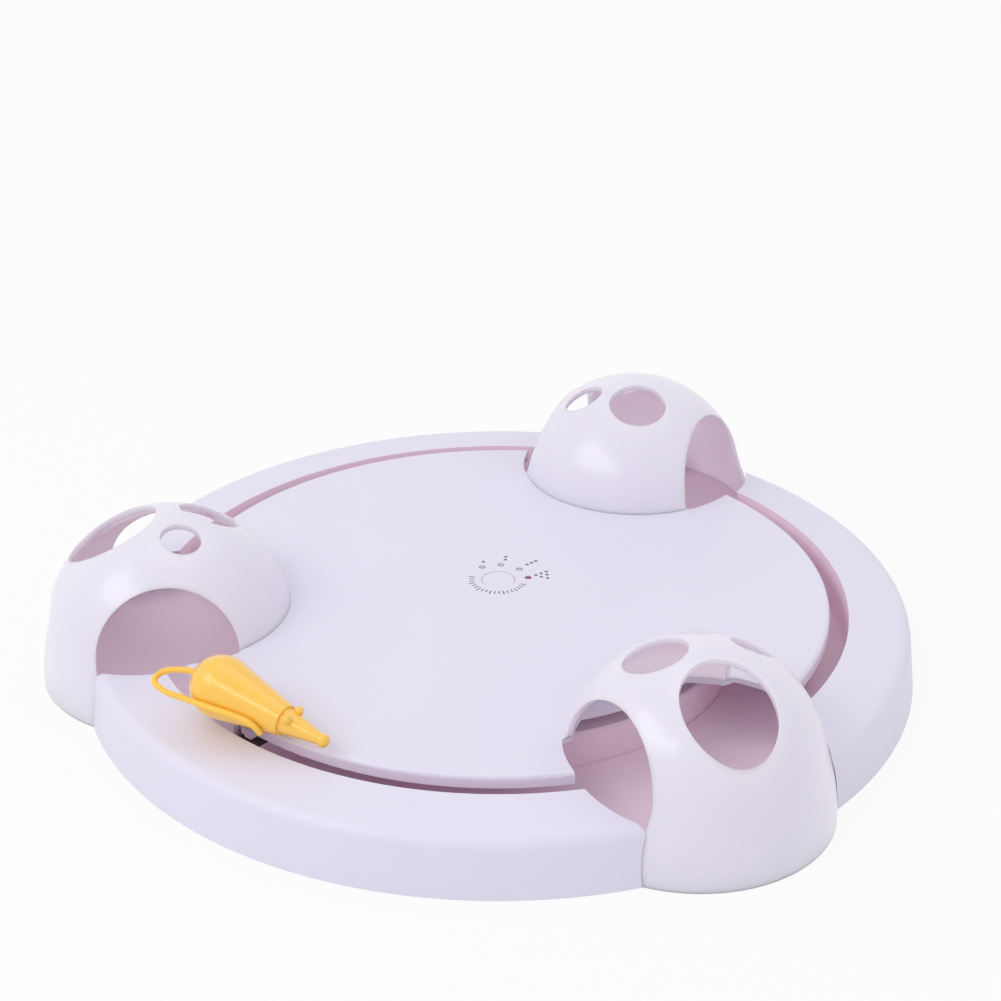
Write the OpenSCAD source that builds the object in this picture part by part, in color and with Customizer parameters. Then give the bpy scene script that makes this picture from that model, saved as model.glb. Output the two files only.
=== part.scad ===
// Mouse turntable cat toy: a motor carries a toy mouse round an open slot between a round cover
// and an outer rim, under three arched domes. Millimetres. The turntable's axis is Z and the
// floor that the toy stands on is z = 0.

/* [Cover] */
// Diameter of the round top cover
cover_d = 237.8; // [225:0.2:250]
// Height of the cover's top face above the deck
cover_rise = 7.9; // [7.6:0.1:10]
// Thickness of the cover's plate
cover_t = 2; // [1.8:0.1:2.2]
// Height of the cover's turned-down edge, plate included
cover_edge_h = 4.6; // [3.5:0.1:5]
// Rounding of the cover's edge
cover_round = 1.6; // [0.6:0.1:2]

/* [Rim and base] */
// Width of the open slot between cover and rim
slot_w = 6.9; // [6:0.1:9]
// Width of the rim at the floor
rim_w = 24.2; // [22:0.1:28]
// Height of the rim's inner edge
rim_h = 24.2; // [22:0.1:25]
// Drop of the rim's top from its inner edge to its shoulder
rim_drop = 2.4; // [1:0.1:4]
// Lean of the rim's outer wall from floor to shoulder
rim_lean = 1.8; // [0.5:0.1:3]
// Rounding of the rim's shoulder
shoulder_r = 5; // [3:0.5:7]
// Wall of the moulded shells
wall = 2.2; // [1.8:0.1:2.6]
// Height of the channel's floor
channel_z = 5.5; // [4.5:0.1:6.5]
// Thickness of the base pan
pan_t = 2; // [1.8:0.1:2.4]
// Diameter of the drum inside the channel
drum_d = 170; // [168:0.5:176]
// Thickness of the deck on the drum
deck_t = 1.7; // [1.4:0.1:1.8]
// Gap between moulded pieces that fit together
fit_gap = 0.3; // [0.2:0.05:0.4]
// Diameter of a rubber foot
foot_d = 15; // [10:0.5:20]
// Thickness of a rubber foot
foot_t = 1.6; // [1:0.1:2]

/* [Domes] */
// How far a dome's axis lies inside the slot's centre line
dome_inset = 4.9; // [2:0.1:8]
// Radius of a dome at the floor
dome_base_r = 48; // [46:0.1:50]
// Radius of a dome's round crown
dome_crown_r = 38; // [36:0.1:40]
// Height of the crown's centre
dome_crown_z = 24; // [23:0.1:26]
// Azimuth of the first dome
dome_az = -57; // [-60:1:-50]
// Radius of the arches
arch_r = 25; // [24:0.1:26]
// Height of the arches' centre
arch_z = 24.8; // [24.2:0.1:25.4]
// Height of the sill under an arch's outer leg
sill_z = 20.4; // [18:0.1:21.5]
// Diameter of the large outward paw hole
hole_large_d = 30.8; // [26:0.2:32]
// Diameter of the medium inward paw hole
hole_medium_d = 20.4; // [17:0.2:22]
// Diameter of the small paw hole
hole_small_d = 14.4; // [11:0.2:15]

/* [Mouse and arm] */
// Azimuth of the mouse's stem
stem_az = 224.4; // [200:0.1:260]
// Diameter of the steel stem
stem_d = 2.5; // [2:0.1:3]
// Radius of the mouse's round rear end
mouse_r = 10.9; // [9.5:0.1:11]
// Length of the mouse from rear centre to nose centre
mouse_l = 42.9; // [40:0.1:46]
// Height of the mouse's rear centre
mouse_z = 37.8; // [37.5:0.1:38]
// Turn of the mouse's heading from the track's direction at the stem
mouse_turn = 10.2; // [6:0.1:12]
// Downward pitch of the mouse's axis
mouse_pitch = 7; // [4:0.5:8]
// Diameter of the tail
tail_d = 2.2; // [1.8:0.1:2.4]
// Width of the arm
arm_w = 6; // [5:0.1:8]
// Thickness of the arm
arm_t = 1.6; // [1.2:0.1:1.8]

/* [Drive] */
// Diameter of the fixed centre column
column_d = 22; // [20:0.2:23]
// Outer diameter of the carousel's hub
hub_d = 30.6; // [29.5:0.1:31]
// Tooth module of the carousel's gear stage
main_m = 1; // [0.98:0.01:1.04]
// Teeth of the carousel's gear
main_n = 54; // [54:1:56]
// Teeth of the idler's small gear
small_n = 12; // [12:1:13]
// Tooth module of the motor's gear stage
fast_m = 0.8; // [0.79:0.01:0.82]
// Teeth of the idler's large gear
large_n = 40; // [39:1:40]
// Teeth of the motor pinion
pinion_n = 10; // [10:1:12]
// Face width of the carousel's gear stage
gear_t = 4.4; // [3:0.1:4.8]
// Face width of the motor's gear stage
fast_t = 3.2; // [2:0.1:3.6]
// Diameter of the motor
motor_d = 24.4; // [20:0.2:24.6]
// Height of the motor's can
motor_h = 9.6; // [8:0.1:9.8]

/* [Controls and battery] */
// Diameter of the button
button_d = 11.9; // [10:0.1:13]
// Distance of the button's axis from the turntable's axis
button_y = 11; // [10.5:0.1:11.6]
// Travel of the button
button_travel = 0.4; // [0.2:0.05:0.4]
// Radius of the row of lamps about the button
lamp_ring_r = 11.1; // [10:0.1:11.6]
// Diameter of a lamp
lamp_d = 2.4; // [2:0.1:3]
// Diameter of a battery cell
cell_d = 14.5; // [13.5:0.1:14.5]
// Length of a battery cell
cell_l = 50.5; // [48:0.1:50.5]
// Thickness of the battery door
door_t = 1.5; // [1.2:0.1:1.6]

/* [Hidden] */
$fn = 96;
eps = 0.01;
far = 400;

// Radii of the cover, slot, rim and domes, all from the cover outwards
cover_r = cover_d / 2;
rim_in_r = cover_r + slot_w;
rim_r = rim_in_r + rim_w;
rim_mid_r = rim_r - rim_w / 2;
track_r = cover_r + slot_w / 2;
dome_r = track_r - dome_inset;
drum_r = drum_d / 2;
DOMES = [dome_az, dome_az + 120, dome_az + 240];
notch_in_r = drum_r + 1.5;
notch_gap = 0.6;

// The dome's side is an arc that meets the crown's arc in one smooth line
side_in = dome_base_r - dome_crown_r;
side_c = (dome_crown_z * dome_crown_z - side_in * side_in) / (2 * side_in);
side_r = dome_base_r + side_c;
function dome_outline_r(z) = sqrt(side_r * side_r - z * z) - side_c;
skirt_u = 20;

// Places of the paw holes: outward and along the track from the dome's axis
RIGHT_LARGE = [21.1, -3.4];
RIGHT_MEDIUM = [-10.1, -9.5];
RIGHT_SMALL = [-2, 16];
REAR_LARGE = [21.1, -3.4];
REAR_MEDIUM = [-11, -6.1];
REAR_SMALL = [-8.7, 16.2];
LEFT_LARGE = [22, -5];
LEFT_MEDIUM = [-12.5, -11];
LEFT_SMALL = [-5.1, 11.7];

// Screws: one self-tapping size throughout
screw_r = 1.25;
screw_head_r = 2.4;
screw_head_h = 1.1;
screw_sink = 0.15;
pilot_r = screw_r + 0.1;
pass_r = screw_r + 0.3;
boss_r = 3.6;
screw_bite = 6;

// Base pan
step_r = drum_r + fit_gap;
rabbet = 0.6;
pan_r = rim_r - wall + rabbet - fit_gap;
flange_w = 3;
channel_under_z = channel_z - pan_t;
lobe_r = dome_outline_r(channel_z) - wall - fit_gap;
RIM_SCREW_AZ = [30, 60, 90];
dome_boss_h = screw_bite + 3;
dome_screw_r = dome_outline_r(channel_z + dome_boss_h) - wall - boss_r + 0.8;
dome_lug_u = drum_r - boss_r - 0.5 - dome_r;
FOOT_AZ = [45, 75];
foot_r = rim_in_r - foot_d;
HOUSING_AZ = [20, 160, 215, 325];
housing_screw_r = drum_r - wall - boss_r - fit_gap;
deck_edge = 0.8;

// Levels inside the drum, stacked from the pan's floor upwards
cell_lift = 0.3;
cell_z = door_t + cell_lift + cell_d / 2;
idle_gap = 0.3;
stage_gap = 0.8;
gear_lift = 5.2;
gear_low = pan_t + gear_lift;
gear_top = gear_low + gear_t;
fast_low = gear_top + stage_gap;
fast_top = fast_low + fast_t;
box_top = max(cell_z + cell_d / 2 + 0.3, fast_top + 1);
deck_under_z = box_top + 0.2;
deck_z = deck_under_z + deck_t;
arm_z = deck_z + 0.6;
flange_z = arm_z + arm_t;
carousel_top = flange_z + 1.1;
board_z = carousel_top + 0.5;
board_t = 1.2;
board_top = board_z + board_t;
cover_z = deck_z + cover_rise;
cover_under_z = cover_z - cover_t;

// Radii of the drive
run_gap = 0.08;
column_r = column_d / 2;
hub_r = hub_d / 2;
main_r = main_m * main_n / 2;
idler_az = -90;
idler_dist = main_m * (main_n + small_n) / 2;
motor_dist = fast_m * (large_n + pinion_n) / 2;
deck_hole_r = main_r + main_m + 1;
flange_r = deck_hole_r + 4;
axle_r = 1.5;
shaft_r = 1;
shaft_tail = 4;
column_flange_r = column_r + 6;
column_screw_r = column_r + 3;
column_bore_r = column_r - 2.4;
cap_t = 2;
plate_t = 2;
cup_h = gear_low - pan_t - 0.6;
cup_wall = 1.6;
axle_boss_r = 3.2;
PLATE_FIX = [[-11, 0], [11, 0]];

// Teeth: trapezoids on the pitch circle, thinned for running play
pressure = 20;
addendum = 0.7;
dedendum = 1.15;
backlash = 0.5;
idler_turn = idler_az + 180 + idler_az * main_n / small_n + 180 / small_n;
pinion_turn = idler_az + 180 + (idler_az - idler_turn) * large_n / pinion_n + 180 / pinion_n;

// Controls
button_x = -0.45;
button_proud = -0.1;
button_gap = 0.2;
button_lip = 1;
button_lip_h = 0.6;
button_low = board_top + 1.1;
LAMP_AZ = [122, 85, 45, 8];
lamp_gap = 0.1;
lamp_proud = 0.15;
board_w = 28;
board_l = 22;
board_y = 4.6;
switch_w = 5.4;
switch_h = 0.7;
plunger_r = 1.5;
stake_r = 1;
stake_boss_r = 2;
STAKES = [[-11.5, 24], [11.5, 24]];
centre_boss_r = 3.4;
lead_hole = [0, 6];
lead_hole_r = 2.4;

// Battery bay, behind the carousel's gear
cell_gap = 0.4;
cell_count = 3;
contact_t = 0.4;
contact_room = 1.6;
contact_w = 9;
contact_dimple_r = 2;
nub_r = 2.7;
nub_l = 1.2;
box_t = 1.4;
box_gap = 0.2;
bay_y = main_r + main_m + 0.8 + box_t;
bay_w = cell_count * cell_d + (cell_count + 1) * cell_gap;
bay_l = cell_l + 2 * contact_room;
door_lip = 1;
door_ear_r = 4.4;
door_boss_h = 7;
door_fix = [bay_l / 2 + box_t + boss_r + 0.5, bay_y + bay_w / 2];

// Stem, arm and mouse
paddle_r = 2.2;
arm_tip_w = 3.2;
foot_in = 1.5;
foot_out = 2.2;
arm_in_r = hub_r + 1;
RIVETS = [hub_r + 5, hub_r + 10];
rivet_r = 1.4;
rivet_head_r = 2.2;
rivet_head_h = 0.7;
arm_az = stem_az + 3;
stem_ahead = 5.9;
mouse_heading = stem_az + 90 + mouse_turn;
collar_back = 15.6;
collar_r = 5.4;
collar_step = 0.7;
snout_end_r = 2;
nose_r = 2.4;
ear_r = 1.7;
ear_ahead = 2.7;
ear_az = 42;
stem_top = mouse_z - stem_ahead * sin(mouse_pitch);

// The tail's loop, in the mouse's own frame: forward, left and up from its rear centre
TAIL = [
    [-7.5, -3.4, 3.2], [-9.8, -4.4, 4.1], [-13.6, -4.2, 2.5], [-17.6, -4.5, 0.8], [-20.5, -5.3, -0.8],
    [-21.9, -6.9, -2], [-21.9, -8.7, -3], [-20.4, -9.8, -3.8], [-18.1, -10.3, -3.8], [-15, -10.7, -3.8],
    [-11.8, -10.8, -3.3], [-7.8, -11.2, -2.2], [-2.2, -12.1, -0.6], [4, -11.7, 0.1], [10.2, -10.4, 0.2],
    [14.3, -9.6, 0.2], [17.4, -8.9, 0], [19.4, -8.4, -0.6], [21.4, -7.8, -1.9], [22.4, -6.8, -3.9]
];
tail_steps = 3;
tail_sides = 8;

// Colours of the mouldings and metal parts
SHELL = [0.89, 0.88, 0.94];
INNER = [0.82, 0.79, 0.86];
DARK = [0.13, 0.12, 0.14];
STEEL = [0.66, 0.66, 0.69];
BRASS = [0.79, 0.66, 0.36];
YELLOW = [1.0, 0.77, 0.24];
RED = [0.72, 0.06, 0.16];

// A screw that points up, with its head's lower face at the origin
module screw_up(length) {
    cylinder(r = screw_head_r, h = screw_head_h);
    cylinder(r = screw_r, h = screw_head_h + length);
}

// A screw's way up through a floor that starts at z = 0, with room for the head
module screw_way(top) {
    translate([0, 0, -1]) cylinder(r = pass_r, h = top + 2);
    translate([0, 0, -1]) cylinder(r = screw_head_r + fit_gap, h = 1 + screw_sink + screw_head_h);
}

// Moves children into the frame of the dome at azimuth az: X outward, Y along the track
module at_dome(az) {
    rotate([0, 0, az])
        translate([dome_r, 0, 0])
            children();
}

module at_radius(azimuths, r) {
    for (a = azimuths)
        rotate([0, 0, a])
            translate([r, 0, 0])
                children();
}

// Half section of the dome's solid from height low upwards, grown by grow
module dome_section(grow, low) {
    tip = [dome_base_r * 2, dome_crown_z * (side_c + dome_base_r * 2) / side_c];
    intersection() {
        translate([0, dome_crown_z]) circle(r = dome_crown_r + grow);
        polygon([[0, dome_crown_z], tip, [0, far]]);
    }
    intersection() {
        translate([-side_c, 0]) circle(r = side_r + grow);
        polygon([[0, low], [far, low], tip, [0, dome_crown_z]]);
    }
}

module dome_solid(grow, low = 0) {
    rotate_extrude() dome_section(grow, low);
}

// Section of the rim's outside from height low upwards, shrunk by inset on every other side
module rim_section(inset, low) {
    shoulder_z = rim_h - rim_drop - shoulder_r;
    shoulder_x = rim_r - rim_lean - shoulder_r;
    polygon([
        [rim_in_r + inset, low], [rim_r - inset - rim_lean * low / shoulder_z, low],
        [rim_r - rim_lean - inset, shoulder_z],
        [shoulder_x, shoulder_z + shoulder_r - inset], [rim_in_r + inset, rim_h - inset]
    ]);
    translate([shoulder_x, shoulder_z]) circle(r = shoulder_r - inset);
}

// One length of the rim, from the dome at azimuth az to the next, closed at both ends
module rim_length(az) {
    // The sweep starts and stops inside the domes' outlines, which cut its ends
    lead = 8;
    ends = [0, 120];
    seat_w = pan_r + fit_gap - rim_in_r + 5;
    rotate([0, 0, az])
        difference() {
            difference() {
                rotate([0, 0, lead])
                    rotate_extrude(angle = 120 - 2 * lead)
                        rim_section(0, 0);
                difference() {
                    rotate([0, 0, lead - 1])
                        rotate_extrude(angle = 122 - 2 * lead)
                            rim_section(wall, -1);
                    at_ends(ends) dome_solid(fit_gap + wall, -2);
                    at_radius(RIM_SCREW_AZ, rim_mid_r) cylinder(r = boss_r, h = rim_h);
                }
                at_ends(ends) dome_solid(fit_gap, -2);
            }
            // Seat for the base pan
            rotate([0, 0, -100])
                rotate_extrude()
                    translate([rim_in_r - 5, -1])
                        square([seat_w, channel_z + 1]);
            at_radius(RIM_SCREW_AZ, rim_mid_r) cylinder(r = pilot_r, h = channel_z + screw_bite + 1);
        }
}

// Moves children to the domes at a rim's ends, turned so that their seams lie inwards
module at_ends(azimuths) {
    for (a = azimuths)
        at_dome(a)
            rotate([0, 0, 180])
                children();
}

module rim_front() { color(SHELL) rim_length(DOMES[2]); }
module rim_right() { color(SHELL) rim_length(DOMES[0]); }
module rim_rear() { color(SHELL) rim_length(DOMES[1]); }

// Paw hole straight down through the crown, at a place in the dome's frame
module paw_hole(d, place) {
    translate([place[0], place[1], dome_crown_z])
        cylinder(d = d, h = far);
}

module dome_shell(az, large, medium, small) {
    at_dome(az)
        difference() {
            union() {
                difference() {
                    dome_solid(0);
                    dome_solid(-wall, -1);
                }
                intersection() {
                    dome_solid(-wall / 2);
                    union() {
                        translate([dome_screw_r, 0, channel_z])
                            cylinder(r = boss_r, h = dome_boss_h);
                        translate([dome_lug_u, 0, cover_z])
                            cylinder(r = boss_r, h = screw_bite + 1);
                        translate([-dome_base_r, -boss_r, cover_z])
                            cube([dome_base_r + dome_lug_u, 2 * boss_r, screw_bite + 1]);
                    }
                }
            }
            // Below the cover only the outer skirt is left
            translate([-far, -far / 2, cover_z - far])
                cube([far + skirt_u, far, far]);
            // The tunnel that the mouse runs through
            translate([0, far / 2, 0])
                rotate([90, 0, 0])
                    linear_extrude(far) {
                        translate([0, arch_z]) circle(r = arch_r);
                        translate([-arch_r, sill_z]) square([2 * arch_r, arch_z - sill_z]);
                    }
            paw_hole(hole_large_d, large);
            paw_hole(hole_medium_d, medium);
            paw_hole(hole_small_d, small);
            translate([dome_screw_r, 0, channel_z - 1])
                cylinder(r = pilot_r, h = screw_bite + 2);
            translate([dome_lug_u, 0, cover_z - 1])
                cylinder(r = pilot_r, h = screw_bite + 1);
        }
}

module dome_right() { color(SHELL) dome_shell(DOMES[0], RIGHT_LARGE, RIGHT_MEDIUM, RIGHT_SMALL); }
module dome_rear() { color(SHELL) dome_shell(DOMES[1], REAR_LARGE, REAR_MEDIUM, REAR_SMALL); }
module dome_left() { color(SHELL) dome_shell(DOMES[2], LEFT_LARGE, LEFT_MEDIUM, LEFT_SMALL); }

// Block over the battery bay, grown by grow all round
module bay_block(grow, low, high) {
    translate([-bay_l / 2 - grow, bay_y - grow, low])
        cube([bay_l + 2 * grow, bay_w + 2 * grow, high - low]);
}

// Outline of the battery door with its screw's ear, grown by grow
module door_outline(grow, low, high) {
    bay_block(door_lip + grow, low, high);
    translate([door_fix[0], door_fix[1], low]) cylinder(r = door_ear_r + grow, h = high - low);
    translate([0, door_fix[1] - door_ear_r - grow, low])
        cube([door_fix[0], 2 * (door_ear_r + grow), high - low]);
}

// Places of the screws that hold the column and the gear plate
module at_column_screws() {
    at_radius([30, 150, 270], column_screw_r) children();
}

module at_plate_screws() {
    for (p = PLATE_FIX)
        translate([p[0], -idler_dist - p[1], 0])
            children();
}

module at_motor() {
    rotate([0, 0, idler_az])
        translate([idler_dist + motor_dist, 0, 0])
            children();
}

module at_idler() {
    rotate([0, 0, idler_az])
        translate([idler_dist, 0, 0])
            children();
}

// Outline of the pan with a lobe under each dome and a groove for its skirt, shrunk by inset
module pan_outline(inset) {
    difference() {
        union() {
            circle(r = pan_r - inset);
            for (az = DOMES)
                at_dome(az)
                    intersection() {
                        circle(r = dome_base_r);
                        translate([skirt_u, -far / 2]) square(far);
                    }
        }
        for (az = DOMES)
            at_dome(az)
                intersection() {
                    difference() {
                        circle(r = dome_base_r + fit_gap + inset);
                        circle(r = lobe_r - inset);
                    }
                    translate([skirt_u - fit_gap - inset, -far / 2]) square(far);
                }
    }
}

// Outline of the pan's step round the drum, which makes room for the battery bay where the drum does
module step_outline(grow) {
    room = box_t + box_gap + wall + fit_gap + grow * 0.6;
    circle(r = step_r + grow);
    translate([-bay_l / 2 - room, bay_y - room]) square([bay_l + 2 * room, bay_w + 2 * room]);
}

module base_pan() {
    color(INNER)
        difference() {
            union() {
                // Drum floor, step, channel floor and the flange round the edge
                linear_extrude(pan_t) step_outline(pan_t);
                linear_extrude(channel_z)
                    difference() {
                        step_outline(pan_t);
                        step_outline(0);
                    }
                translate([0, 0, channel_under_z])
                    linear_extrude(pan_t)
                        difference() {
                            pan_outline(0);
                            step_outline(0);
                        }
                linear_extrude(channel_z)
                    difference() {
                        pan_outline(0);
                        pan_outline(flange_w);
                    }
                for (az = DOMES) {
                    rotate([0, 0, az]) {
                        at_radius(FOOT_AZ, foot_r)
                            translate([0, 0, foot_t])
                                cylinder(d = foot_d + 2, h = channel_z - foot_t);
                        at_radius(RIM_SCREW_AZ, rim_mid_r) cylinder(r = boss_r, h = channel_z);
                    }
                    at_dome(az)
                        translate([dome_screw_r, 0, 0])
                            cylinder(r = boss_r, h = channel_z);
                }
            }
            door_outline(fit_gap, -1, far);
            at_radius(HOUSING_AZ, housing_screw_r) screw_way(pan_t);
            at_column_screws() screw_way(pan_t);
            at_plate_screws() screw_way(pan_t);
            for (az = DOMES) {
                rotate([0, 0, az]) at_radius(RIM_SCREW_AZ, rim_mid_r) screw_way(channel_z);
                at_dome(az) translate([dome_screw_r, 0, 0]) screw_way(channel_z);
            }
        }
}

// Upturned cup over battery and gears; its top is the deck that the arm sweeps over
module drum_housing() {
    color(INNER)
        difference() {
            union() {
                difference() {
                    union() {
                        rotate_extrude()
                            polygon([
                                [0, pan_t], [drum_r, pan_t], [drum_r, deck_z - deck_edge],
                                [drum_r - deck_edge, deck_z], [0, deck_z]
                            ]);
                        // A drum too small for the battery bay swells out round it
                        bay_block(box_t + box_gap + wall, pan_t + 5 * eps, deck_z - deck_edge);
                    }
                    translate([0, 0, pan_t - 1])
                        cylinder(r = drum_r - wall, h = deck_under_z - pan_t + 1);
                    bay_block(box_t + box_gap, pan_t - 2, deck_under_z - 5 * eps);
                    cylinder(r = deck_hole_r, h = far);
                }
                at_radius(HOUSING_AZ, housing_screw_r)
                    translate([0, 0, pan_t])
                        cylinder(r = boss_r, h = deck_z - 1 - pan_t);
                at_idler()
                    translate([0, 0, fast_top + idle_gap])
                        cylinder(r = axle_boss_r, h = deck_z - 1 - fast_top - idle_gap);
            }
            at_radius(HOUSING_AZ, housing_screw_r)
                translate([0, 0, pan_t - 1])
                    cylinder(r = pilot_r, h = screw_bite + 2);
            at_idler() cylinder(r = axle_r + 0.02, h = deck_under_z);
        }
}

// Hollow column: the carousel turns on it, and its cap carries the middle of the cover
module centre_column() {
    color(INNER)
        difference() {
            rotate_extrude()
                polygon([
                    [column_bore_r, pan_t], [column_flange_r, pan_t],
                    [column_flange_r, gear_low - idle_gap], [column_r, gear_low - idle_gap],
                    [column_r, board_z], [0, board_z], [0, board_z - cap_t],
                    [column_bore_r, board_z - cap_t]
                ]);
            at_column_screws() cylinder(r = pilot_r, h = gear_low - 1);
            cylinder(r = pass_r, h = far);
            translate([lead_hole[0], lead_hole[1], pan_t]) cylinder(r = lead_hole_r, h = far);
        }
}

module at_button() {
    translate([button_x, button_y, 0]) children();
}

module at_lamps(azimuths) {
    at_button() at_radius(azimuths, lamp_ring_r) children();
}

module top_cover() {
    edge_low = cover_z - cover_edge_h;
    color(SHELL)
        difference() {
            union() {
                rotate_extrude() {
                    polygon([
                        [0, cover_under_z], [cover_r - wall, cover_under_z], [cover_r - wall, edge_low],
                        [cover_r, edge_low], [cover_r, cover_z - cover_round],
                        [cover_r - cover_round, cover_z], [0, cover_z]
                    ]);
                    translate([cover_r - cover_round, cover_z - cover_round]) circle(r = cover_round);
                }
                translate([0, 0, board_z]) cylinder(r = centre_boss_r, h = cover_t + cover_under_z - board_z);
                for (p = STAKES) {
                    translate([p[0], p[1], board_top]) cylinder(r = stake_boss_r, h = cover_z - board_top);
                    translate([p[0], p[1], board_z]) cylinder(r = stake_r, h = cover_z - board_z);
                }
            }
            // Under each dome the cover stops short of the track
            for (az = DOMES)
                difference() {
                    at_dome(az) {
                        translate([0, 0, -1])
                            cylinder(r = dome_outline_r(cover_z) - wall - notch_gap, h = far);
                        // Between an arch's legs the cut reaches out past the dome's wall
                        intersection() {
                            translate([0, 0, -2])
                                cylinder(r = dome_outline_r(cover_z) + notch_gap, h = far);
                            translate([-arch_r, -far / 2, -3])
                                cube([2 * arch_r, far, far]);
                        }
                    }
                    cylinder(r = notch_in_r, h = 3 * far, center = true);
                }
            at_button() {
                cylinder(r = button_d / 2 + button_gap, h = far);
                translate([0, 0, board_z])
                    cylinder(r = button_d / 2 + button_lip + button_gap, h = button_low + button_lip_h - board_z);
            }
            at_lamps(LAMP_AZ) cylinder(r = lamp_d / 2 + lamp_gap, h = far);
            translate([0, 0, board_z - 1]) cylinder(r = pilot_r, h = cover_z - board_z);
            for (az = DOMES)
                at_dome(az)
                    translate([dome_lug_u, 0, 0])
                        cylinder(r = pass_r, h = far);
        }
}

module battery_box() {
    color(INNER)
        difference() {
            union() {
                bay_block(box_t, pan_t, box_top);
                translate([door_fix[0], door_fix[1], pan_t]) cylinder(r = boss_r, h = door_boss_h);
                translate([0, door_fix[1] - boss_r, pan_t]) cube([door_fix[0], 2 * boss_r, door_boss_h]);
            }
            bay_block(0, -1, far);
            translate([door_fix[0], door_fix[1], 0]) cylinder(r = pilot_r, h = pan_t + door_boss_h - 1);
        }
}

// Places of the cells; every other one lies the other way round
module at_cells() {
    for (i = [0 : cell_count - 1])
        translate([0, bay_y + cell_gap + cell_d / 2 + i * (cell_d + cell_gap), cell_z])
            rotate([0, 90, i % 2 == 0 ? 0 : 180])
                children();
}

module battery_cells() {
    color([0.2, 0.3, 0.25])
        at_cells() {
            translate([0, 0, -cell_l / 2]) cylinder(d = cell_d, h = cell_l - nub_l);
            translate([0, 0, -cell_l / 2]) cylinder(r = nub_r, h = cell_l);
        }
}

// Spring plates at the ends of the bay, each pressing its cell with a round dimple
module battery_contacts() {
    color(BRASS)
        at_cells()
            for (s = [-1, 1]) {
                translate([-contact_w / 2, -contact_w / 2, s * (bay_l / 2 - contact_t / 2) - contact_t / 2])
                    cube([contact_w, contact_w, contact_t]);
                translate([0, 0, s > 0 ? cell_l / 2 : -bay_l / 2])
                    cylinder(r = contact_dimple_r, h = contact_room);
            }
}

module battery_door() {
    color(INNER)
        difference() {
            door_outline(0, 0, door_t);
            translate([door_fix[0], door_fix[1], 0]) screw_way(door_t);
        }
}

module door_screw() {
    color(STEEL)
        translate([door_fix[0], door_fix[1], screw_sink])
            screw_up(pan_t + door_boss_h - screw_head_h - 2);
}

// Plate under the gear train: a cup for the motor and a boss for the idler's axle
module gear_plate() {
    color(DARK)
        difference() {
            union() {
                translate([0, 0, pan_t]) {
                    at_motor() cylinder(r = motor_d / 2 + fit_gap + cup_wall, h = cup_h);
                    at_idler() cylinder(r = axle_boss_r, h = gear_low - idle_gap - pan_t);
                    translate([-boss_r - PLATE_FIX[1][0], -idler_dist - boss_r, 0])
                        cube([2 * (boss_r + PLATE_FIX[1][0]), 2 * boss_r, plate_t]);
                    translate([-boss_r, -idler_dist - motor_dist, 0])
                        cube([2 * boss_r, motor_dist, plate_t]);
                }
                at_plate_screws() translate([0, 0, pan_t]) cylinder(r = boss_r, h = cup_h);
            }
            at_motor() cylinder(r = motor_d / 2 + fit_gap, h = far);
            at_idler() cylinder(r = axle_r + 0.02, h = far);
            at_plate_screws() cylinder(r = pilot_r, h = pan_t + cup_h - 1);
        }
}

module motor() {
    color(STEEL)
        at_motor()
            difference() {
                translate([0, 0, pan_t]) {
                    cylinder(d = motor_d, h = motor_h - 1);
                    cylinder(d = motor_d - 1.6, h = motor_h - 0.4);
                    cylinder(r = 3, h = motor_h);
                }
                translate([0, 0, pan_t + shaft_tail]) cylinder(r = shaft_r + run_gap, h = far);
            }
}

module idler_axle() {
    color(STEEL)
        at_idler()
            translate([0, 0, pan_t])
                cylinder(r = axle_r, h = deck_under_z - pan_t);
}

module control_board() {
    color([0.1, 0.35, 0.2])
        difference() {
            translate([-board_w / 2, board_y, board_z]) cube([board_w, board_l, board_t]);
            for (p = STAKES)
                translate([p[0], p[1], 0]) cylinder(r = stake_r + 0.1, h = far);
            translate([lead_hole[0], lead_hole[1], 0]) cylinder(r = 1, h = far);
        }
}

module switch_body() {
    color(DARK)
        at_button()
            translate([0, 0, board_top])
                difference() {
                    translate([-switch_w / 2, -switch_w / 2, 0]) cube([switch_w, switch_w, switch_h]);
                    translate([0, 0, -1]) cylinder(r = plunger_r + fit_gap, h = far);
                }
}

// The small cap that the button presses, at rest against the button's underside
module switch_plunger() {
    plunger_low = board_top + button_travel + 0.1;
    color([0.9, 0.9, 0.9])
        at_button()
            translate([0, 0, plunger_low])
                cylinder(r = plunger_r, h = button_low - plunger_low);
}

module power_button() {
    color(SHELL)
        at_button()
            translate([0, 0, button_low]) {
                cylinder(d = button_d, h = cover_z + button_proud - button_low);
                cylinder(r = button_d / 2 + button_lip, h = button_lip_h);
            }
}

module lamp() {
    dome_z = cover_z + lamp_proud - lamp_d / 2;
    translate([0, 0, board_top]) cylinder(d = lamp_d, h = dome_z - board_top);
    translate([0, 0, dome_z]) sphere(d = lamp_d);
}

module speed_lamps() { color([0.75, 0.7, 0.76]) at_lamps([LAMP_AZ[0], LAMP_AZ[1], LAMP_AZ[2]]) lamp(); }
module lit_lamp() { color(RED) at_lamps([LAMP_AZ[3]]) lamp(); }

module rubber_feet() {
    color(DARK)
        for (az = DOMES)
            rotate([0, 0, az])
                at_radius(FOOT_AZ, foot_r)
                    cylinder(d = foot_d, h = foot_t);
}

module housing_screws() {
    color(STEEL)
        at_radius(HOUSING_AZ, housing_screw_r)
            translate([0, 0, screw_sink])
                screw_up(pan_t + screw_bite - screw_head_h - screw_sink);
}

module rim_screws() {
    color(STEEL)
        for (az = DOMES)
            rotate([0, 0, az])
                at_radius(RIM_SCREW_AZ, rim_mid_r)
                    translate([0, 0, screw_sink])
                        screw_up(channel_z + screw_bite - screw_head_h - screw_sink);
}

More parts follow.
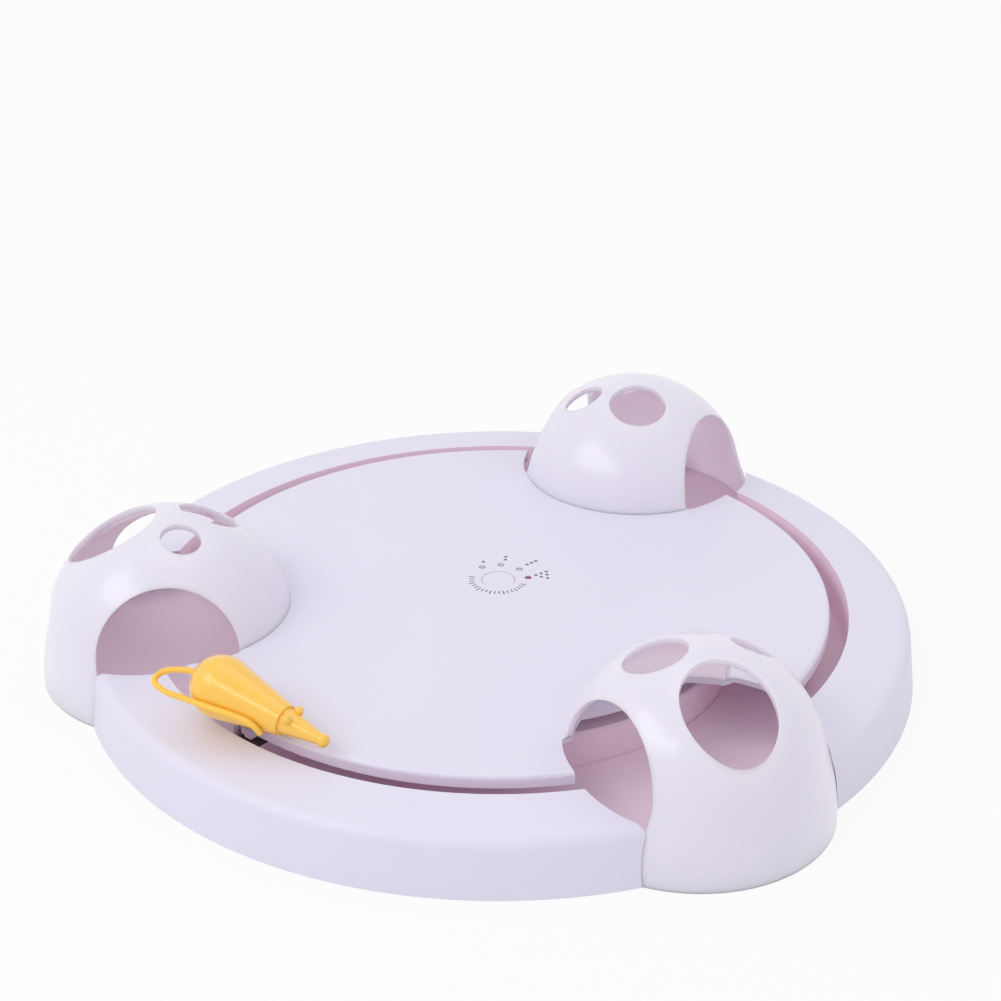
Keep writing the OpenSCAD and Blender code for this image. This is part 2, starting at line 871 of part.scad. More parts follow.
module dome_screws() {
    color(STEEL)
        for (az = DOMES)
            at_dome(az) {
                translate([dome_screw_r, 0, screw_sink])
                    screw_up(channel_z + screw_bite - screw_head_h - screw_sink);
                translate([dome_lug_u, 0, cover_under_z - screw_head_h])
                    screw_up(cover_t + screw_bite - 1);
            }
}

module column_screws() {
    color(STEEL)
        at_column_screws()
            translate([0, 0, screw_sink])
                screw_up(gear_low - 2 - screw_head_h);
}

module plate_screws() {
    color(STEEL)
        at_plate_screws()
            translate([0, 0, screw_sink])
                screw_up(pan_t + cup_h - 2 - screw_head_h);
}

// Holds the cover's middle down on the column, from inside the column
module cover_screw() {
    low = board_z - cap_t - screw_head_h;
    color(STEEL)
        translate([0, 0, low])
            screw_up(cap_t + cover_under_z - board_z + 0.5);
}

// Half of a tooth's width, as an angle at radius r
function tooth_half(m, n, r) =
    (PI * m / 4 - backlash / 4 - (r - m * n / 2) * tan(pressure)) / r * 180 / PI;

function tooth_points(m, n, mid) =
    let(rs = [m * n / 2 - dedendum * m, m * n / 2, m * n / 2 + addendum * m])
    [for (s = [[0, -1], [1, -1], [2, -1], [2, 1], [1, 1], [0, 1]])
        let(r = rs[s[0]], a = mid + s[1] * tooth_half(m, n, r))
        r * [cos(a), sin(a)]];

module gear(m, n, turn, h) {
    linear_extrude(h)
        polygon([for (i = [0 : n - 1]) each tooth_points(m, n, turn + i * 360 / n)]);
}

// Turntable: gear, hub on the column, and the flange that carries the arm
module carousel() {
    color(DARK)
        difference() {
            union() {
                translate([0, 0, gear_low]) gear(main_m, main_n, 0, gear_t);
                translate([0, 0, gear_low]) cylinder(r = hub_r, h = carousel_top - gear_low);
                translate([0, 0, flange_z]) cylinder(r = flange_r, h = carousel_top - flange_z);
            }
            cylinder(r = column_r + run_gap, h = far);
            rotate([0, 0, arm_az])
                for (r = RIVETS)
                    translate([r, 0, 0])
                        cylinder(r = rivet_r + 0.05, h = far);
        }
}

// Flat tapered arm under the flange, with a foot at its end that holds the stem
module carrier_arm() {
    reach = track_r + foot_out - 0.2;
    foot_l = track_r * sin(arm_az - stem_az);
    color(DARK)
        difference() {
            rotate([0, 0, arm_az])
                translate([0, 0, arm_z])
                    linear_extrude(arm_t) {
                        polygon([
                            [arm_in_r, -arm_w / 2], [reach, -arm_tip_w / 2],
                            [reach, arm_tip_w / 2], [arm_in_r, arm_w / 2]
                        ]);
                        translate([track_r - foot_in, -foot_l]) square([foot_in + foot_out, foot_l]);
                        rotate(stem_az - arm_az) translate([track_r, 0]) circle(r = paddle_r);
                    }
            rotate([0, 0, arm_az])
                for (r = RIVETS)
                    translate([r, 0, 0])
                        cylinder(r = rivet_r + 0.05, h = far);
            rotate([0, 0, stem_az])
                translate([track_r, 0, 0])
                    cylinder(d = stem_d + 0.1, h = far);
        }
}

module arm_rivets() {
    color(STEEL)
        rotate([0, 0, arm_az])
            for (r = RIVETS)
                translate([r, 0, arm_z - rivet_head_h]) {
                    cylinder(r = rivet_head_r, h = rivet_head_h);
                    cylinder(r = rivet_r, h = rivet_head_h + carousel_top - arm_z);
                }
}

module mouse_stem() {
    color(STEEL)
        rotate([0, 0, stem_az])
            translate([track_r, 0, arm_z])
                cylinder(d = stem_d, h = stem_top - arm_z);
}

// Moves children into the mouse's frame: rear centre at the origin, nose along X
module at_mouse() {
    rotate([0, 0, stem_az])
        translate([track_r, 0, mouse_z])
            rotate([0, 0, mouse_heading - stem_az])
                translate([-stem_ahead, 0, 0])
                    rotate([0, mouse_pitch, 0])
                        children();
}

module mouse_body() {
    collar_x = mouse_l - collar_back;
    lean = asin((mouse_r - collar_r) / collar_x);
    color(YELLOW)
        difference() {
            at_mouse() {
                rotate([0, 90, 0]) {
                    sphere(r = mouse_r);
                    translate([0, 0, mouse_r * sin(lean)])
                        cylinder(r1 = mouse_r * cos(lean), r2 = collar_r, h = collar_x - mouse_r * sin(lean));
                    translate([0, 0, collar_x - 1])
                        cylinder(r1 = collar_r - collar_step, r2 = snout_end_r, h = collar_back + 1 - nose_r / 2);
                    translate([0, 0, mouse_l]) sphere(r = nose_r);
                }
                for (s = [-1, 1])
                    translate([collar_x + ear_ahead, 0, 0])
                        rotate([s * ear_az, 0, 0])
                            translate([0, 0, collar_r - collar_step])
                                sphere(r = ear_r);
            }
            rotate([0, 0, stem_az])
                translate([track_r, 0, 0])
                    cylinder(d = stem_d + 0.1, h = stem_top + 0.1);
        }
}

// A smooth curve through the tail's points, and round rings swept along it
function tail_at(i) = TAIL[max(0, min(len(TAIL) - 1, i))];
function tail_curve(i, t) =
    let(a = tail_at(i - 1), b = tail_at(i), c = tail_at(i + 1), d = tail_at(i + 2))
    0.5 * (2 * b + (c - a) * t + (2 * a - 5 * b + 4 * c - d) * t * t
        + (3 * b - a - 3 * c + d) * t * t * t);
TAIL_PATH = [
    for (i = [0 : len(TAIL) - 2])
        for (k = [0 : tail_steps - 1])
            tail_curve(i, k / tail_steps),
    TAIL[len(TAIL) - 1]
];
function unit(v) = v / norm(v);
function tail_dir(i) =
    unit(TAIL_PATH[min(len(TAIL_PATH) - 1, i + 1)] - TAIL_PATH[max(0, i - 1)]);

module mouse_tail() {
    n = len(TAIL_PATH);
    rings = [
        for (i = [0 : n - 1])
            let(d = tail_dir(i), side = unit(cross(d, [0.3, -0.35, 0.9])), up = cross(side, d))
            for (k = [0 : tail_sides - 1])
                TAIL_PATH[i] + tail_d / 2 * (cos(k * 360 / tail_sides) * side + sin(k * 360 / tail_sides) * up)
    ];
    faces = concat(
        [for (i = [0 : n - 2]) for (k = [0 : tail_sides - 1]) for (f = [0, 1])
            let(a = i * tail_sides + k, b = i * tail_sides + (k + 1) % tail_sides)
            f == 0 ? [a, b, a + tail_sides] : [b, b + tail_sides, a + tail_sides]],
        [[for (k = [tail_sides - 1 : -1 : 0]) k]],
        [[for (k = [0 : tail_sides - 1]) (n - 1) * tail_sides + k]]
    );
    color(YELLOW) at_mouse() polyhedron(rings, faces);
}

module idler_gear() {
    color([0.93, 0.93, 0.9])
        at_idler()
            rotate([0, 0, -idler_az])
                difference() {
                    union() {
                        translate([0, 0, gear_low]) gear(main_m, small_n, idler_turn, fast_low - gear_low);
                        translate([0, 0, fast_low]) gear(fast_m, large_n, idler_turn, fast_t);
                    }
                    cylinder(r = axle_r + run_gap, h = far);
                }
}

module motor_pinion() {
    color(BRASS)
        at_motor()
            rotate([0, 0, -idler_az])
                difference() {
                    translate([0, 0, fast_low]) gear(fast_m, pinion_n, pinion_turn, fast_t);
                    cylinder(r = shaft_r + 0.02, h = far);
                }
}

module motor_shaft() {
    shaft_low = pan_t + shaft_tail + idle_gap;
    color(STEEL)
        at_motor()
            translate([0, 0, shaft_low])
                cylinder(r = shaft_r, h = fast_top + 0.3 - shaft_low);
}

base_pan();
drum_housing();
centre_column();
rim_front();
rim_right();
rim_rear();
top_cover();
dome_right();
dome_rear();
dome_left();
battery_box();
battery_cells();
battery_contacts();
motor();
gear_plate();
idler_axle();
control_board();
switch_body();
speed_lamps();
lit_lamp();
rubber_feet();
housing_screws();
rim_screws();
dome_screws();
column_screws();
cover_screw();
plate_screws();
carousel();
carrier_arm();
arm_rivets();
mouse_stem();
mouse_body();
mouse_tail();
idler_gear();
motor_pinion();
motor_shaft();
power_button();
switch_plunger();
battery_door();
door_screw();
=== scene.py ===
"""Looks of the mouse turntable cat toy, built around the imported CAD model. Metres."""

import math

import bmesh
import bpy
from mathutils import Matrix, Vector


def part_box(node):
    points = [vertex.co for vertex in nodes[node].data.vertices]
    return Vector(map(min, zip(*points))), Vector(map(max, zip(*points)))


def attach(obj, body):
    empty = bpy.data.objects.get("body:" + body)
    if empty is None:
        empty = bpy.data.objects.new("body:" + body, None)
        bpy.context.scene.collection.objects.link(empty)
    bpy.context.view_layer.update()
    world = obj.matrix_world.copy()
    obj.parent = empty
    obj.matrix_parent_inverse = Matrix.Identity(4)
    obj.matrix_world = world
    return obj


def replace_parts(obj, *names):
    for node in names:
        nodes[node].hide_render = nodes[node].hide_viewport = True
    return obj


MM = 0.001
BLACK = (0.0, 0.0, 0.0, 1.0)
WHITE = (1.0, 1.0, 1.0, 1.0)

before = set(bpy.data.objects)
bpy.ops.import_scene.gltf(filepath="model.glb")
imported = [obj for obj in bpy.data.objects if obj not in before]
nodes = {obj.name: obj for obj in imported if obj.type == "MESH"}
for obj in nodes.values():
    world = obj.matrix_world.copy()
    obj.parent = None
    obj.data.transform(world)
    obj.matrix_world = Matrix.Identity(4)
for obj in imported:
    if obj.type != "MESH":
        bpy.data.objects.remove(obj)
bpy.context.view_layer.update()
scene = bpy.context.scene
scene.view_settings.view_transform = "Standard"

# Camera, as fitted to the photograph's ellipses
IMAGE_WIDTH = 1001
FOCAL_PX = 2616.26
SENSOR_MM = 36.0
DISTANCE = 0.961
ELEVATION = math.radians(30.88)
ORIGIN_PX = (499.10, 657.0)
CENTRE_PX = 500.5
ROLL = math.radians(-0.14)
CLIP_NEAR = 0.05
CLIP_FAR = 20.0


def make_camera():
    """Camera at the photograph's viewing angle, with the origin at its pixel there."""
    data = bpy.data.cameras.new("camera")
    data.sensor_width = SENSOR_MM
    data.lens = FOCAL_PX / IMAGE_WIDTH * SENSOR_MM
    data.clip_start = CLIP_NEAR
    data.clip_end = CLIP_FAR
    camera = bpy.data.objects.new("camera", data)
    scene.collection.objects.link(camera)
    yaw = -math.atan((ORIGIN_PX[0] - CENTRE_PX) / FOCAL_PX)
    pitch = ELEVATION - math.atan((ORIGIN_PX[1] - CENTRE_PX) / FOCAL_PX)
    place = Vector((0, -DISTANCE * math.cos(ELEVATION), DISTANCE * math.sin(ELEVATION)))
    camera.matrix_world = (
        Matrix.Translation(place)
        @ Matrix.Rotation(-yaw, 4, "Z")
        @ Matrix.Rotation(math.pi / 2 - pitch, 4, "X")
        @ Matrix.Rotation(ROLL, 4, "Z")
    )
    scene.camera = camera


def srgb(r, g, b):
    """Linear colour of an 8-bit sRGB colour."""
    def linear(v):
        v /= 255
        return v / 12.92 if v <= 0.04045 else ((v + 0.055) / 1.055) ** 2.4
    return (linear(r), linear(g), linear(b), 1.0)


def shaded(colour, factor):
    """The colour made darker or lighter by a factor."""
    return tuple(min(1.0, c * factor) for c in colour[:3]) + (1.0,)


class Material:
    """A node material with one Principled shader and helpers for procedural detail."""

    def __init__(self, name):
        self.data = bpy.data.materials.new(name)
        self.data.use_nodes = True
        self.tree = self.data.node_tree
        self.shader = self.tree.nodes["Principled BSDF"]
        coords = self.tree.nodes.new("ShaderNodeTexCoord")
        self.place = coords.outputs["Object"]
        self.normal = coords.outputs["Normal"]

    def set(self, **values):
        for key, value in values.items():
            self.shader.inputs[key.replace("_", " ")].default_value = value

    def link(self, a, b):
        self.tree.links.new(a, b)

    def noise(self, scale, detail=3.0, roughness=0.5, distortion=0.0):
        node = self.tree.nodes.new("ShaderNodeTexNoise")
        node.inputs["Scale"].default_value = scale
        node.inputs["Detail"].default_value = detail
        node.inputs["Roughness"].default_value = roughness
        node.inputs["Distortion"].default_value = distortion
        self.link(self.place, node.inputs["Vector"])
        return node.outputs["Fac"]

    def ramp(self, value, low, high, start=0.35, end=0.65):
        node = self.tree.nodes.new("ShaderNodeMapRange")
        node.inputs["From Min"].default_value = start
        node.inputs["From Max"].default_value = end
        node.inputs["To Min"].default_value = low
        node.inputs["To Max"].default_value = high
        self.link(value, node.inputs["Value"])
        return node.outputs["Result"]

    def mix(self, value, a, b):
        node = self.tree.nodes.new("ShaderNodeMix")
        node.data_type = "RGBA"
        for socket, colour in (("A", a), ("B", b)):
            target = [i for i in node.inputs if i.name == socket and i.type == "RGBA"][0]
            if hasattr(colour, "is_linked"):
                self.link(colour, target)
            else:
                target.default_value = colour
        factor = [i for i in node.inputs if i.name == "Factor" and i.type == "VALUE"][0]
        self.link(value, factor)
        return [o for o in node.outputs if o.type == "RGBA"][0]

    def bump(self, height, strength, distance):
        node = self.tree.nodes.new("ShaderNodeBump")
        node.inputs["Strength"].default_value = strength
        node.inputs["Distance"].default_value = distance
        self.link(height, node.inputs["Height"])
        self.link(node.outputs["Normal"], self.shader.inputs["Normal"])

    def colour(self, socket):
        self.link(socket, self.shader.inputs["Base Color"])

    def rough(self, socket):
        self.link(socket, self.shader.inputs["Roughness"])


# Moulded plastic: noise (scale, detail, roughness, distortion) and how much it changes
FLOW_NOISE = (14.0, 4.0, 0.55, 0.6)
FLOW_RANGE = (0.3, 0.7)
GLOSS_NOISE = (120.0, 3.0, 0.5)
GLOSS_SPREAD = 0.02
GRAIN_SCALE = 1600.0
GRAIN_DEPTH = 0.000005
GRAIN_STRENGTH = 0.2
COAT_ROUGH = 0.12
PLASTIC_IOR = 1.5

# Light through thin walls, partly painted: the painted pink colour of inner faces, and the heights
# between which the painted glow fades
INSIDE_TURN = (-0.82, -0.7)
PAINTED_GLOW_FROM = 38.0 * MM
PAINTED_GLOW_TO = 52.0 * MM
# Painted light: a paler, pinker colour on inner faces in place of light through the walls
INSIDE_PAINTED_LIGHT_COLOUR = srgb(246, 234, 242)
WALL_RADIUS = (1.0, 0.82, 0.88)
WALL_DEPTH = 5.0 * MM


def facing(mat, centre, flat):
    """1 on faces that look towards centre, 0 elsewhere; flat leaves height out."""
    nodes_of = mat.tree.nodes
    away = nodes_of.new("ShaderNodeVectorMath")
    away.operation = "SUBTRACT"
    away.inputs[1].default_value = centre
    mat.link(mat.place, away.inputs[0])
    level = nodes_of.new("ShaderNodeVectorMath")
    level.operation = "MULTIPLY"
    level.inputs[1].default_value = (1.0, 1.0, 0.0 if flat else 1.0)
    mat.link(away.outputs["Vector"], level.inputs[0])
    unit = nodes_of.new("ShaderNodeVectorMath")
    unit.operation = "NORMALIZE"
    mat.link(level.outputs["Vector"], unit.inputs[0])
    turned = nodes_of.new("ShaderNodeVectorMath")
    turned.operation = "DOT_PRODUCT"
    mat.link(unit.outputs["Vector"], turned.inputs[0])
    mat.link(mat.normal, turned.inputs[1])
    return mat.ramp(turned.outputs["Value"], 1.0, 0.0, *INSIDE_TURN)


def painted_glow_below(mat, share, glow):
    """Painted light: emission of colour glow where share is 1, fading out towards the crowns, in
    place of light that the walls throw back.
    """
    parts = mat.tree.nodes.new("ShaderNodeSeparateXYZ")
    mat.link(mat.place, parts.inputs["Vector"])
    low = mat.ramp(parts.outputs["Z"], 1.0, 0.0, PAINTED_GLOW_FROM, PAINTED_GLOW_TO)
    wall = mat.tree.nodes.new("ShaderNodeMath")
    wall.operation = "MULTIPLY"
    mat.link(share, wall.inputs[0])
    mat.link(low, wall.inputs[1])
    mat.link(mat.mix(wall.outputs[0], BLACK, glow), mat.shader.inputs["Emission Color"])
    mat.set(Emission_Strength=1.0)


def plastic(name, colour, rough, variation=0.025, grain=GRAIN_SCALE, grain_depth=GRAIN_DEPTH,
            coat=0.0, inside=None, flat=False, depth=0.0, glow=None):
    """Moulded plastic: faint flow marks in the colour, slightly uneven gloss and a tooled grain.
    With inside, faces that look towards that point are painted pink in place of the light that
    comes through
    thin walls: depth lets light pass through the wall, glow is painted emission for what other
    walls throw back.
    Without inside, the painted glow is on every face."""
    mat = Material(name)
    flow = mat.ramp(mat.noise(*FLOW_NOISE), 0.0, 1.0, *FLOW_RANGE)
    tint = mat.mix(flow, shaded(colour, 1.0 - variation), shaded(colour, 1.0 + variation))
    if inside:
        share = facing(mat, inside, flat)
        # Painted light: faces that look inwards take the painted pink colour
        tint = mat.mix(share, tint, INSIDE_PAINTED_LIGHT_COLOUR)
        if depth:
            mat.set(Subsurface_Weight=1.0, Subsurface_Radius=WALL_RADIUS, Subsurface_Scale=depth)
        # Painted light: glow on inner faces in place of light that other walls throw back
        if glow:
            painted_glow_below(mat, share, glow)
    elif glow:
        # Painted light: glow on every face
        mat.set(Emission_Color=glow, Emission_Strength=1.0)
    mat.colour(tint)
    mat.rough(mat.ramp(mat.noise(*GLOSS_NOISE), rough - GLOSS_SPREAD, rough + GLOSS_SPREAD))
    mat.bump(mat.noise(grain, 2.0, 0.5), GRAIN_STRENGTH, grain_depth)
    mat.set(Coat_Weight=coat, Coat_Roughness=COAT_ROUGH, IOR=PLASTIC_IOR)
    return mat.data


def metal(name, colour, rough, streaks=(40.0, 40.0, 900.0)):
    """Drawn or rolled steel and brass with fine streaks along its length."""
    mat = Material(name)
    mapping = mat.tree.nodes.new("ShaderNodeMapping")
    mapping.inputs["Scale"].default_value = streaks
    mat.link(mat.place, mapping.inputs["Vector"])
    mat.place = mapping.outputs["Vector"]
    lines = mat.noise(6.0, 4.0, 0.6)
    mat.colour(mat.mix(mat.ramp(lines, 0.0, 1.0), shaded(colour, 0.86), shaded(colour, 1.08)))
    mat.rough(mat.ramp(lines, rough - 0.06, rough + 0.08))
    mat.bump(lines, 0.2, 0.00002)
    mat.set(Metallic=1.0)
    return mat.data


def paint(name, colour, rough):
    """Black sprayed finish with orange peel."""
    mat = Material(name)
    peel = mat.noise(1400.0, 2.0, 0.5)
    cloud = mat.ramp(mat.noise(60.0), 0.0, 1.0)
    mat.colour(mat.mix(cloud, shaded(colour, 0.8), shaded(colour, 1.3)))
    mat.rough(mat.ramp(peel, rough - 0.05, rough + 0.07))
    mat.bump(peel, 0.3, 0.00003)
    return mat.data


def ink(name, colour):
    """Pad-printed ink, a little thinner in places."""
    mat = Material(name)
    thin = mat.ramp(mat.noise(2200.0, 3.0, 0.6), 0.0, 1.0, 0.4, 0.7)
    mat.colour(mat.mix(thin, colour, shaded(colour, 1.5)))
    mat.rough(mat.ramp(mat.noise(900.0), 0.45, 0.6))
    mat.bump(mat.noise(3000.0), 0.2, 0.00001)
    return mat.data


def lens(name, colour, glow=0.0):
    """Tinted lamp body: cloudy inside, clear skin."""
    mat = Material(name)
    cloud = mat.ramp(mat.noise(700.0, 3.0, 0.6), 0.0, 1.0)
    mat.colour(mat.mix(cloud, shaded(colour, 0.85), shaded(colour, 1.15)))
    mat.rough(mat.ramp(mat.noise(1500.0), 0.16, 0.24))
    mat.bump(mat.noise(1800.0), 0.1, 0.00001)
    mat.set(Coat_Weight=0.6, Coat_Roughness=0.08)
    if glow:
        mat.set(Emission_Color=colour, Emission_Strength=glow)
    return mat.data


def board_material(name):
    """Green solder mask with faint copper tracks under it."""
    mat = Material(name)
    brick = mat.tree.nodes.new("ShaderNodeTexBrick")
    brick.inputs["Scale"].default_value = 420.0
    brick.inputs["Mortar Size"].default_value = 0.03
    brick.inputs["Color1"].default_value = srgb(28, 92, 52)
    brick.inputs["Color2"].default_value = srgb(24, 80, 46)
    brick.inputs["Mortar"].default_value = srgb(64, 132, 80)
    mat.link(mat.place, brick.inputs["Vector"])
    mat.colour(brick.outputs["Color"])
    mat.rough(mat.ramp(mat.noise(300.0), 0.3, 0.42))
    mat.bump(brick.outputs["Fac"], 0.3, 0.00003)
    return mat.data


SHELL_COLOUR = srgb(229, 226, 241)
# Inner parts: their plastic colour, painted paler and pinker in place of light through the walls
INNER_PLASTIC_WITH_PAINTED_LIGHT = srgb(242, 224, 236)
MOUSE_COLOUR = srgb(254, 200, 76)
SHELL_ROUGH = 0.42
SHELL_VARIATION = 0.012
# Painted light: glow on the rims' inner faces in place of light through and between the pink walls
RIM_PAINTED_GLOW = (0.1, 0.03, 0.06, 1.0)
# Painted light: faint glow on the inner parts in place of light that the walls throw back
INNER_PAINTED_GLOW = (0.022, 0.01, 0.013, 1.0)
DOME_ROUGH = 0.3
DOME_COAT = 0.5
DOME_AXIS = 117.45
INSIDE_AT = 24.0
DOME_TURNS = {"dome_right": -57, "dome_rear": 63, "dome_left": 183}
# Painted light: glow on each dome's inner faces in place of light through its walls
DOME_PAINTED_GLOWS = {
    "dome_right": (0.1, 0.11, 0.11, 1.0),
    "dome_rear": (0.05, 0.04, 0.06, 1.0),
    "dome_left": None,
}


def dome_centre(azimuth):
    """The point inside a dome that its inner faces look towards."""
    a = math.radians(azimuth)
    return (DOME_AXIS * MM * math.cos(a), DOME_AXIS * MM * math.sin(a), INSIDE_AT * MM)


shell = plastic("shell_satin", SHELL_COLOUR, SHELL_ROUGH, SHELL_VARIATION)
# Rims: painted pink colour and painted glow on the faces that look towards the middle
rim_plastic = plastic("rim_satin", SHELL_COLOUR, SHELL_ROUGH, SHELL_VARIATION,
                      inside=(0.0, 0.0, 0.0), flat=True, glow=RIM_PAINTED_GLOW)
# Domes: painted pink colour and painted glow on the faces that look into each dome
dome_looks = {
    node: plastic(node + "_gloss", SHELL_COLOUR, DOME_ROUGH, SHELL_VARIATION, coat=DOME_COAT,
                  inside=dome_centre(turn), depth=WALL_DEPTH, glow=DOME_PAINTED_GLOWS[node])
    for node, turn in DOME_TURNS.items()
}
# Inner parts: painted pink colour and painted glow on every face
inner = plastic("inner_shell", INNER_PLASTIC_WITH_PAINTED_LIGHT, 0.5, 0.02, glow=INNER_PAINTED_GLOW)
mouse = plastic("mouse_plastic", MOUSE_COLOUR, 0.2, 0.03, coat=0.5)
tail = plastic("tail_rubber", MOUSE_COLOUR, 0.42, 0.04)
dark = plastic("dark_plastic", srgb(40, 38, 44), 0.5, 0.1)
ivory = plastic("gear_plastic", srgb(232, 229, 218), 0.45)
steel = metal("steel", (0.56, 0.56, 0.58, 1.0), 0.28)
brass = metal("brass", (0.72, 0.53, 0.24, 1.0), 0.3)
black_steel = paint("black_steel", srgb(34, 32, 36), 0.4)
cell_wrap = plastic("cell_wrap", srgb(70, 92, 82), 0.3, 0.05, coat=0.3)
rubber = plastic("foot_rubber", srgb(52, 50, 54), 0.75, 0.12, 1500.0, 0.00004)
lamp_off = lens("lamp_unlit", srgb(188, 178, 196))
lamp_on = lens("lamp_red", srgb(136, 20, 52), 0.05)
board = board_material("board_green")
dot_ink = ink("dot_ink", srgb(104, 101, 114))
scale_ink = ink("scale_ink", srgb(108, 105, 118))

LOOKS = {
    shell: ["top_cover", "power_button"],
    rim_plastic: ["rim_front", "rim_right", "rim_rear"],
    inner: ["base_pan", "drum_housing", "centre_column", "battery_box", "battery_door"],
    mouse: ["mouse_body"],
    tail: ["mouse_tail"],
    dark: ["carousel", "gear_plate", "switch_body"],
    ivory: ["idler_gear", "switch_plunger"],
    steel: ["motor", "idler_axle", "arm_rivets", "mouse_stem", "motor_shaft", "housing_screws",
            "rim_screws", "dome_screws", "column_screws", "cover_screw", "plate_screws",
            "door_screw"],
    brass: ["battery_contacts", "motor_pinion"],
    black_steel: ["carrier_arm"],
    cell_wrap: ["battery_cells"],
    rubber: ["rubber_feet"],
    lamp_off: ["speed_lamps"],
    lamp_on: ["lit_lamp"],
    board: ["control_board"],
}
LOOKS.update({look: [node] for node, look in dome_looks.items()})
for look, names in LOOKS.items():
    for name in names:
        mesh = nodes[name].data
        mesh.materials.clear()
        mesh.materials.append(look)


def built_mesh(name, build):
    """A mesh made by build(bm)."""
    bm = bmesh.new()
    build(bm)
    bmesh.ops.recalc_face_normals(bm, faces=bm.faces)
    mesh = bpy.data.meshes.new(name)
    bm.to_mesh(mesh)
    bm.free()
    return mesh


def add_piece(name, mesh, look, body):
    """A new object for a mesh, riding on a body."""
    mesh.materials.clear()
    mesh.materials.append(look)
    piece = bpy.data.objects.new(name, mesh)
    scene.collection.objects.link(piece)
    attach(piece, body)
    return piece


def prism(bm, points, low, high, inset):
    """A flat plate over points, with its top edge drawn in by inset towards its middle."""
    middle = sum((Vector(p) for p in points), Vector((0, 0))) / len(points)
    rings = []
    for z, draw in ((low, 0.0), (high - inset / 2, 0.0), (high, inset)):
        ring = []
        for p in points:
            away = Vector(p) - middle
            q = middle + away * (1 - draw / away.length)
            ring.append(bm.verts.new((q.x, q.y, z)))
        rings.append(ring)
    count = len(points)
    for a, b in zip(rings, rings[1:]):
        for i in range(count):
            j = (i + 1) % count
            bm.faces.new((a[i], a[j], b[j], b[i]))
    bm.faces.new(rings[0][::-1])
    bm.faces.new(rings[-1])


# Print on the cover round the button
BUTTON = Vector((-0.45, 11.0)) * MM
COVER_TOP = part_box("top_cover")[1][2]
INK_RISE = 0.03 * MM
INK_SINK = 0.02 * MM
DOT_R = 0.68 * MM
SPEED_DOTS = [
    (112.3, 14.5),
    (80.0, 15.3), (80.7, 17.5),
    (46.5, 15.5), (45.7, 17.6), (45.2, 19.7),
    (13.2, 14.2), (16.2, 16.4), (7.2, 15.9), (18.5, 18.6), (11.3, 18.3), (3.3, 18.1),
]
SCALE_FROM = 168
SCALE_TO = 338
SCALE_TICKS = 19
SCALE_IN = 8.8 * MM
SCALE_OUT = 10.6 * MM
TICK_W = 0.5 * MM
TICK_EXTRA = 0.5 * MM
LONG_EVERY = 3
TICK_INSET = 0.02 * MM
DOT_SIDES = 20
DOT_INSET = 0.06 * MM


def polar(azimuth, radius):
    """A point on the cover, by angle and distance from the button's middle."""
    a = math.radians(azimuth)
    return BUTTON + Vector((math.cos(a), math.sin(a))) * radius


def build_dots(bm):
    for azimuth, radius in SPEED_DOTS:
        middle = polar(azimuth, radius * MM)
        ring = [middle + Vector((math.cos(t), math.sin(t))) * DOT_R
                for t in (k * math.tau / DOT_SIDES for k in range(DOT_SIDES))]
        prism(bm, ring, COVER_TOP - INK_SINK, COVER_TOP + INK_RISE, DOT_INSET)


def build_scale(bm):
    for k in range(SCALE_TICKS):
        azimuth = SCALE_FROM + (SCALE_TO - SCALE_FROM) * k / (SCALE_TICKS - 1)
        a = math.radians(azimuth)
        out = Vector((math.cos(a), math.sin(a)))
        side = Vector((-out.y, out.x)) * TICK_W / 2
        long_tick = SCALE_OUT + (TICK_EXTRA if k % LONG_EVERY == 0 else 0)
        corners = [BUTTON + out * SCALE_IN - side, BUTTON + out * long_tick - side,
                   BUTTON + out * long_tick + side, BUTTON + out * SCALE_IN + side]
        prism(bm, corners, COVER_TOP - INK_SINK, COVER_TOP + INK_RISE, TICK_INSET)


add_piece("speed_dots", built_mesh("speed_dots", build_dots), dot_ink, "base")
add_piece("dial_scale", built_mesh("dial_scale", build_scale), scale_ink, "base")

# Domes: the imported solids' foot under the fuller crowns that the photograph shows.
# Their own frame has u outwards from the dome's axis, v along the track and z up, in millimetres.
FOOT_ARC_R = 71.8
FOOT_ARC_BACK = 23.8
CROWN_R = 44.0
CROWN_AT = 18.2
BLEND_FROM = 14.0
BLEND_TO = 34.0
DOME_WALL = 2.2
HOLES_FROM = 25.0
SILL_Z = 20.4
SKIRT_U = 20.0
COVER_Z = COVER_TOP / MM
SINK = 0.4
BOSS_U = 40.3
BOSS_R = 3.6
BOSS_LOW = 5.5
BOSS_H = 9.0
LUG_U = -36.55
LUG_R = 1.8
LUG_H = 4.6

# Facets of the domes and of what cuts them, and how far the cutters reach past the dome
ROUND = 144
FOOT_RINGS = 24
CROWN_RINGS = 32
ARCH_STEPS = 72
SILL_STEPS = 36
HOLE_SIDES = 96
BOSS_SIDES = 48
REACH = 70.0
HOLLOW_LOW = -1.0
CUT_LOW = -5.0
TILTED_AT = 0.8
NEAR = 0.05
POLE_CAP = 1.0

# Lean of the crown, arch (radius, height) and paw holes (u, v, radius);
# a hole with a tilt and a swing is cut along its own axis from the crown's middle
DOME_FORMS = {
    "dome_right": (0.8, (25.0, 24.8),
                   ((22.8, -4.5, 16.0), (-8.8, -10.5, 10.8), (1.0, 21.2, 7.2))),
    "dome_rear": (-0.4, (26.5, 25.4),
                  ((0.0, 0.0, 9.0, (44, 35)), (-11.7, -6.4, 11.0), (-11.5, 16.7, 7.2))),
    "dome_left": (1.5, (25.0, 24.8),
                  ((20.2, -3.0, 16.0), (-14.0, -10.2, 10.6), (-5.1, 12.3, 7.2))),
}


